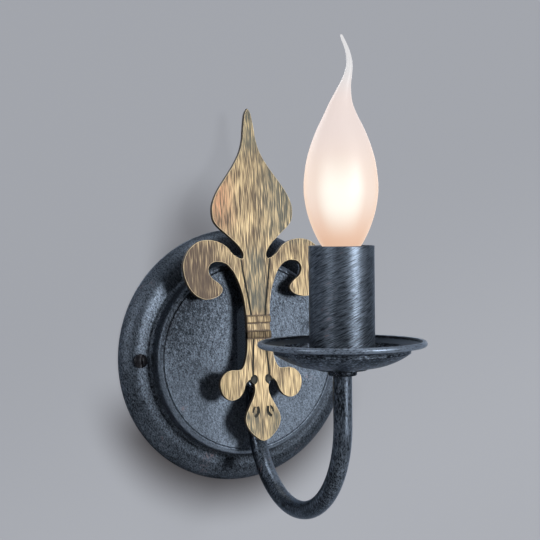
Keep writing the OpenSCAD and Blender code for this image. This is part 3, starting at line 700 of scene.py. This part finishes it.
for rise in (bend_low + arm_top - end_ring, end_ring):
    bpy.ops.mesh.extrude_region_move(TRANSFORM_OT_translate={"value": (0, 0, rise * mm)})
close_seams()
bpy.ops.object.mode_set(mode="OBJECT")
wall = tube.modifiers.new("wall", "SOLIDIFY")
wall.thickness = tube_wall * mm
wall.offset = -1
bpy.ops.object.modifier_apply(modifier="wall")
smooth(tube, 40)


def arm_share_and_painted_light():
    """A share of pewter that is painted light and shade: more where the tube faces up and to the
    right and towards the front, as painted light, and less near the pan, as painted shade under it."""
    # Painted light on the up and right facing sides and the front, painted shade under the pan.
    lit = turned_to((0.1, 0, 0.12))
    _, inward, upward = spot_on()
    return lit - inward - upward.past(-30, 0) * 0.08 + 0.42


arm_pewter = pewter("pewter_arm", arm_share_and_painted_light, cloudy=0.2, stroke=(1, 1, 0.3), rough=0.34, soft=0.22)
finish_piece(tube, arm_pewter, "dark_steel", "fixture", "arm_tube")

# ---- Collar and seat ----
# A turned steel collar is brazed on the tube's end. A thin seat disc lies on it, and its threaded
# spigot goes up through the pan.
collar_r = 6.9
collar_h = 2.6
collar_bore = 3.6
collar_grip = 1.4
low_round = 0.8
top_round = 0.5
spigot_r = 5
spigot_h = 7.2
seat_r = 11.8
seat_bore = 5.25
seat_t = 0.8
seat_edge = 0.25
collar_z = arm_top - collar_grip
seat_z = collar_z + collar_h
pan_z = seat_z + seat_t
spigot_z = pan_z + spigot_h
collar = turned("arm_end_collar", [(collar_bore, collar_z + 0.2), (tube_r, collar_z)]
                + arc(collar_r - low_round, collar_z + low_round, low_round, -90, 0, 6)
                + arc(collar_r - top_round, seat_z - top_round, top_round, 0, 90, 4)
                + [(spigot_r, seat_z), (spigot_r, spigot_z), (collar_bore, spigot_z)]
                + [(collar_bore, collar_z + 0.2)], 64, depth=candle_depth)
pewter_small = pewter("pewter_fittings", 0.38)
finish_piece(collar, pewter_small, "dark_steel", "fixture", "arm_collar")
seat = turned("pan_seat_disc", [(seat_bore, seat_z)]
              + arc(seat_r - seat_edge, seat_z + seat_edge, seat_edge, -90, 0, 3)
              + arc(seat_r - seat_edge, pan_z - seat_edge, seat_edge, 0, 90, 3)
              + [(seat_bore, pan_z), (seat_bore, seat_z)], 96, depth=candle_depth)
finish_piece(seat, pewter_small, "dark_steel", "fixture", "pan_seat")

# ---- Drip pan ----
# A shallow dish spun from 1 mm sheet steel, with a flat bottom, a round bowl, a sloping flange and
# a lip rolled over a wire.
pan_r = 40
lip_roll = 1.4
lip_h = 11.5
bowl_r = 31.8
bowl_h = 6.8
flat_r = 10.5
bowl_w = bowl_r - flat_r
bowl_arc = (bowl_w ** 2 + bowl_h ** 2) / (2 * bowl_h)


def bowl(t):
    """Stations of the bowl's underside, or of its inside where t is the sheet's thickness."""
    turns = [asin(bowl_w / bowl_arc) * i / 20 for i in range(21)]
    return [(flat_r + (bowl_arc - t) * sin(a), pan_z + bowl_arc - (bowl_arc - t) * cos(a))
            for a in turns]


lip_x = pan_r - lip_roll
lip_z = pan_z + lip_h
step_z = pan_z + bowl_h
section = ([(seat_bore, pan_z)] + bowl(0)
           + [(bowl_r + 0.5, step_z + 0.3), (bowl_r + 0.6, step_z + 1.8)]
           + [(bowl_r + 1.1, step_z + 2.3), (lip_x - 1.3, lip_z - 1)]
           + arc(lip_x, lip_z, lip_roll, -140, 150, 24)
           + [(lip_x - lip_roll, lip_z), (bowl_r + 1, step_z + 3.3), (bowl_r - 0.1, step_z + 2.8)]
           + [(bowl_r - 0.4, step_z + 1.8)] + bowl(sheet)[::-1]
           + [(seat_bore, pan_z + sheet), (seat_bore, pan_z)])
pan = turned("drip_pan_dish", section, 128, depth=candle_depth)


def pan_share_and_painted_light():
    """Pewter with painted light and shade: more on the lip, as painted light, and hardly any on the
    dish's up-facing inside, as painted shade.
    """
    across, inward, _ = spot_on()
    away = inward + candle_depth * mm
    out = (across * across + away * away).maths("SQRT")
    # Painted shade darkens the inside of the dish, and painted light brightens the lip.
    inside = turned_to((0, 0, 1)).step(0.2, 0.6)
    lip = out.past(37.2, 38.2)
    return lip * 0.16 + 0.45 - inside * (1 - lip) * 0.45


def no_shadow(*pieces):
    """The photograph has no shadow of the pan, candle and lamp on the canopy: they cast none."""
    for piece in pieces:
        piece.visible_shadow = False


pan_pewter = pewter("pewter_pan", pan_share_and_painted_light, stroke=(0.4, 0.4, 1.5), rough=0.44)
finish_piece(pan, pan_pewter, "dark_steel", "fixture", "drip_pan")
no_shadow(pan)

# ---- Candle sleeve ----
# A plain steel tube, 31 mm across, stands in the pan round the lamp holder. Its lacquer is brushed
# over in fine slanting strokes.
sleeve_r = 15.5
sleeve_bore = sleeve_r - 1
sleeve_rim = 0.3
sleeve_gap = 0.05
rim_h = 57.7
rim_z = pan_z + rim_h
bowl_rise = bowl_arc - sqrt((bowl_arc - sheet) ** 2 - (sleeve_r - flat_r) ** 2)
sleeve_z = pan_z + bowl_rise + sleeve_gap
sleeve = turned("candle_tube", [(sleeve_bore, sleeve_z), (sleeve_r, sleeve_z)]
                + [(sleeve_r, sleeve_z + end_ring), (sleeve_r, rim_z - sleeve_rim - end_ring)]
                + [(sleeve_r, rim_z - sleeve_rim)]
                + arc(sleeve_r - sleeve_rim, rim_z - sleeve_rim, sleeve_rim, 15, 90, 4)
                + arc(sleeve_bore + sleeve_rim, rim_z - sleeve_rim, sleeve_rim, 90, 180, 4)
                + [(sleeve_bore, sleeve_z)], 96, depth=candle_depth)


def sleeve_share_and_painted_light():
    """More pewter towards the top, as painted light and shade: lighter above, darker below."""
    return spot_on()[2] * 1.2 + 0.41


sleeve_pewter = pewter("pewter_sleeve", sleeve_share_and_painted_light, cloudy=0.2, stroke=(0.12, 1, 1.2),
                       turn=(0, radians(24), 0), rough=0.44, around=candle_depth, soft=0.32)
finish_piece(sleeve, sleeve_pewter, "dark_steel", "fixture", "candle_sleeve")
holder = ("holder_base", "holder_body", "holder_shell", "holder_contact", "holder_terminals")
no_shadow(sleeve, *(frame["nodes"][name] for name in holder))

# ---- Lamp ----
# A bent-tip candle lamp in frosted glass on a small nickel-plated screw cap, lit. The filament
# glows through the lower third, and the drawn-out tail is nearly clear.
form = [  # height, radius, and how far the middle is bent aside
    (56.1, 5.1, 0), (58.5, 6.3, 0), (60.5, 9.3, 0), (67, 12.8, 0), (75.1, 15.7, 0), (82.8, 17.2, 0),
    (88.1, 17.5, 0), (93.4, 17.15, 0), (100.4, 16.1, 0), (107.5, 14.1, 0), (114.7, 11.3, 0),
    (121.6, 7.9, 0), (127.5, 5.4, 0.3), (134.4, 3.15, 1.9), (139.3, 2.1, 3.4), (144.2, 1.54, 4.4),
    (148.5, 1.23, 4.2), (152.6, 1.03, 3.2), (156.8, 0.84, 1.5), (159, 0.53, 0.7)]
bend_turn = radians(-28)
rings = curved(form, 4)
bpy.ops.object.select_all(action="DESELECT")
bpy.ops.mesh.primitive_circle_add(vertices=48, radius=rings[0][1] * mm, fill_type="NGON",
                                  location=(0, -candle_depth * mm, rings[0][0] * mm))
glass = bpy.context.object
glass.name = glass.data.name = "lamp_glass"
bpy.ops.object.transform_apply()
bpy.ops.object.mode_set(mode="EDIT")
bpy.ops.mesh.region_to_loop()
for last, ring in zip(rings, rings[1:]):
    shift = ring[2] - last[2]
    bpy.ops.mesh.extrude_edges_move(TRANSFORM_OT_translate={"value": (
        shift * cos(bend_turn) * mm, shift * sin(bend_turn) * mm, (ring[0] - last[0]) * mm)})
    middle = (ring[2] * cos(bend_turn) * mm,
              (ring[2] * sin(bend_turn) - candle_depth) * mm, ring[0] * mm)
    bpy.ops.transform.resize(value=[ring[1] / last[1]] * 2 + [1], center_override=middle)
bpy.ops.mesh.edge_face_add()
bpy.ops.mesh.poke()
bpy.ops.mesh.select_all(action="SELECT")
bpy.ops.mesh.normals_make_consistent(inside=False)
smooth(glass, 60)

frosted = start_material("frosted_lit_glass")
_, _, upward = spot_on()
inward = 1 - Shade.node("LayerWeight", {}, {"Blend": 0.5}, out=1)
warm_foot = (0.76, 0.48, 0.33, 1)
warm_belly = (0.86, 0.7, 0.6, 1)
warm_side = (0.84, 0.61, 0.46, 1)
pale_neck = (0.77, 0.65, 0.61, 1)
grey_tail = (0.7, 0.69, 0.7, 1)
hot_spot = (1, 0.96, 0.86, 1)
body = upward.past(60, 86).mix(warm_foot, warm_belly)
body = upward.past(88, 118).mix(body, pale_neck)
tail = upward.past(126, 146).mix(body, grey_tail)
limb = (1 - inward.step(0.02, 0.6)) * (1 - upward.past(85, 115))
tail = limb.mix(tail, warm_side)
glow = upward.past(62, 81) * (1 - upward.past(84, 106)) * inward.step(0.7, 1)
surface(Base_Color=(0.07, 0.068, 0.066, 1), Roughness=grain(3) * 0.1 + 0.45,
        Emission_Color=glow.mix(tail, hot_spot), Emission_Strength=1.0,
        Alpha=1 - upward.past(126, 150) * 0.35, Normal=bumps(grain(0.3, 2), 0.01))
finish_piece(glass, frosted, "frosted_glass", "lamp", "bulb_glass")
lamp_parts = ("bulb_cap", "bulb_contact", "bulb_insulator", "bulb_stem", "bulb_filament")
no_shadow(glass, *(frame["nodes"][name] for name in lamp_parts))

nickel = start_material("nickel_plate")
worn = grain(1.5, 4)
surface(Base_Color=worn.mix((0.55, 0.53, 0.48, 1), (0.74, 0.72, 0.68, 1)), Metallic=1.0,
        Roughness=0.2 + worn * 0.2, Normal=bumps(grain(0.4, 2), 0.01))
dress(["bulb_cap", "bulb_contact"], nickel)
dress(["bulb_insulator"],
      moulded("black_vitrite", (0.008, 0.008, 0.012, 1), (0.02, 0.02, 0.028, 1), 0.2))
clear = start_material("clear_stem_glass")
surface(Base_Color=grain(2).mix((0.82, 0.88, 0.88, 1), (0.95, 0.98, 0.98, 1)), Roughness=0.08,
        Alpha=grain(4) * 0.2 + 0.3)
dress(["bulb_stem"], clear)
hot = start_material("hot_filament")
surface(Base_Color=grain(0.5).mix((0.3, 0.3, 0.32, 1), (0.55, 0.55, 0.57, 1)), Metallic=1.0,
        Roughness=0.35, Emission_Color=grain(1).mix((1, 0.7, 0.35, 1), (1, 0.85, 0.55, 1)),
        Emission_Strength=1.0)
dress(["bulb_filament"], hot)

# ---- Wall, floor and light ----
# The sconce hangs on a grey wall over a pale floor. The wall shows from the front only, with
# painted light that makes it a little lighter towards the lower right and the sconce's soft shadows
# painted on it. The main lamp stands in front and a little to the right, others at the left, above
# and behind, and a dim sky fills the shadows.
wall_gap = 0.6
wall_size, wall_middle, floor_size, floor_low = 4, 1.1, 6, -0.9  # in metres
wall_grey = (0.362, 0.376, 0.411, 1)
wall_light = (0.413, 0.428, 0.465, 1)
wall_dark = (0.03, 0.024, 0.024, 1)
bpy.ops.object.select_all(action="DESELECT")
bpy.ops.mesh.primitive_plane_add(
    size=wall_size, location=(0, wall_gap * mm, wall_middle), rotation=(pi / 2, 0, 0))
wall = bpy.context.object
wall.name = "wall_backdrop"
bpy.ops.object.transform_apply()
wall.visible_shadow = False
paint = start_material("wall_paint")
from_behind = Shade.node("NewGeometry", out=6)
across, _, upward = spot_on()
# Painted light: the wall is a little lighter towards the lower right.
painted_light_low_right = (upward * -0.8 + across * 0.25).step(-0.06, 0.1)
plaster = painted_light_low_right.mix(wall_grey, wall_light)


def shadow_at(x, z, squeeze, dark_r, clear_r):
    """1 near a spot on the wall, and 0 from clear_r mm away. It is taller where squeezed."""
    aside, above = across - x * mm, (upward - z * mm) * squeeze
    near = (aside * aside + above * above).maths("SQRT")
    return 1 - near.past(dark_r, clear_r)


under_canopy = shadow_at(-4, -8, 1, 54, 88) * (1 - upward.past(-46, -6))
plaster = (under_canopy * 0.9).mix(plaster, wall_dark)
plaster = (shadow_at(-21, 55, 0.7, 4, 34) * 0.5).mix(plaster, wall_dark)
matt = Shade.node("BsdfDiffuse", {}, {"Color": plaster})
even = Shade.node("Emission", {}, {"Color": plaster})
seen_share = Shade.node("LightPath", out=0) * 0.9
front = Shade.node("MixShader", {}, {0: seen_share, 1: matt, 2: even})
open_side = Shade.node("BsdfTransparent")
end_with(Shade.node("MixShader", {}, {0: from_behind, 1: front, 2: open_side}))
wall.data.materials.append(paint)
bpy.ops.mesh.primitive_plane_add(size=floor_size, location=(0, 0, floor_low))
floor = bpy.context.object
floor.name = "pale_floor"
floor_paint = start_material("floor_paint")
grit = grain(80, 3).mix((0.7, 0.7, 0.7, 1), (0.74, 0.74, 0.74, 1))
matt = Shade.node("BsdfDiffuse", {}, {"Color": grit})
even = Shade.node("Emission", {}, {"Color": grit})
end_with(Shade.node("MixShader", {}, {0: Shade.node("LightPath", out=0) * 0.7, 1: matt, 2: even}))
floor.data.materials.append(floor_paint)

# The lamps stand 1.3 m away. For each: its turn from straight in front and its height in degrees,
# its size in metres and its watts.
lamp_far = 1.3
for turn, rise, size, watts in ((18, 8, 0.3, 14), (135, 10, 0.3, 3), (15, 76, 0.5, 3),
                                (-66, 15, 0.4, 4.4), (180, 25, 0.6, 14)):
    turn, rise = radians(turn), radians(rise)
    bpy.ops.object.light_add(type="AREA", location=(
        lamp_far * sin(turn) * cos(rise), -lamp_far * cos(turn) * cos(rise), lamp_far * sin(rise)))
    lamp = bpy.context.object
    lamp.data.shape = "RECTANGLE"
    lamp.data.size = lamp.data.size_y = size
    lamp.data.energy = watts
    lamp.rotation_euler = (pi / 2 - rise, 0, turn)
world = bpy.data.worlds.new("studio")
bpy.context.scene.world = world
world.use_nodes = True
world.node_tree.nodes.clear()
Shade.tree = world.node_tree
sky_blue = (0.62, 0.72, 0.9, 1)
sky_seen = (0.8, 0.81, 0.83, 1)
sky_dim = 0.04
gloss_share = 0.06
to_camera, to_gloss, through_glass = [Shade.node("LightPath", out=i) for i in (0, 3, 6)]
seen = to_camera.maths("MAXIMUM", to_gloss * gloss_share).maths("MAXIMUM", through_glass)
sky_tone = to_camera.mix(sky_blue, sky_seen)
sky = Shade.node("Background", {}, {0: sky_tone, 1: seen * (1 - sky_dim) + sky_dim})
end_with(sky, "OutputWorld")
bpy.context.scene.view_settings.view_transform = "Standard"
